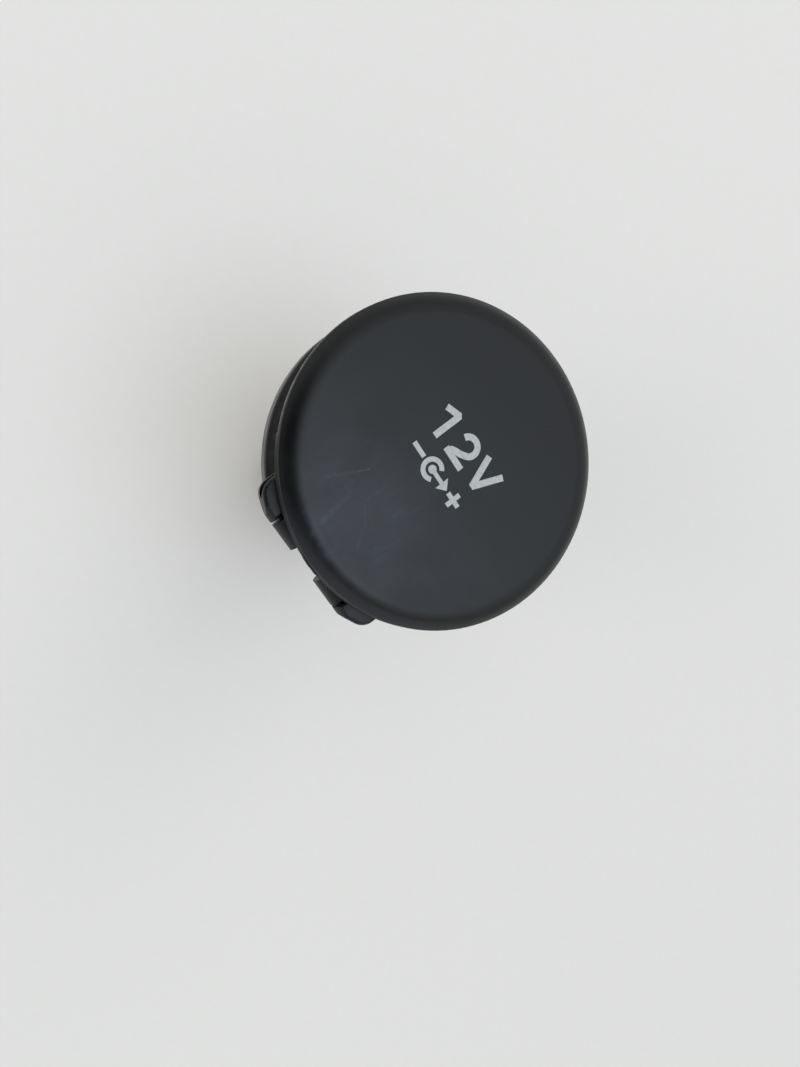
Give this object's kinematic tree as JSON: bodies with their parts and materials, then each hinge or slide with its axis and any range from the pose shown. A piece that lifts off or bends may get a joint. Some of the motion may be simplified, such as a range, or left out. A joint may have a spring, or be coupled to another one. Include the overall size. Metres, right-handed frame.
{
  "type": "car 12 v power socket",
  "caption": "Round panel-mounted 12 V power socket with a hinged flat lid over a metal plug bore, a latching sleeve and a rear blade connector.",
  "frame": {"origin": "on the plug bore's axis, level with the flange's underside, which seats on the panel", "axes": "+Z out of the panel towards the lid, -Y towards the hinge, +X along the hinge axis"},
  "size_m": [0.0384, 0.0387, 0.0581],
  "materials": {
    "housing_plastic": "black moulded plastic with a fine grain",
    "lid_plastic": "black moulded plastic, matt, lightly scuffed",
    "pin_steel": "drawn wire, blackened",
    "shell_steel": "nickel plated drawn steel",
    "insulator_plastic": "dark brown heat-resistant moulding",
    "contact_brass": "stamped, bright",
    "terminal_metal": "tin plated brass strip",
    "shroud_plastic": "black moulded plastic, satin",
    "mark_ink": "pale grey ink printed on the lid"
  },
  "bodies": {
    "socket": {"housing": "housing_plastic", "hinge_pin_left": "pin_steel", "hinge_pin_right": "pin_steel", "socket_shell": "shell_steel", "base_insulator": "insulator_plastic", "centre_contact": "contact_brass", "contact_rivet": "contact_brass", "negative_terminal": "terminal_metal", "rear_insulator": "insulator_plastic", "positive_terminal": "terminal_metal", "connector_shroud": "shroud_plastic"},
    "lid": {"lid": "lid_plastic"}
  },
  "joints": [
    {"name": "lid_hinge", "type": "hinge", "parent": "socket", "child": "lid", "pos_m": [0, -0.0179, 0.007], "axis": [1, 0, 0], "range_deg": [0, 105]}
  ]
}
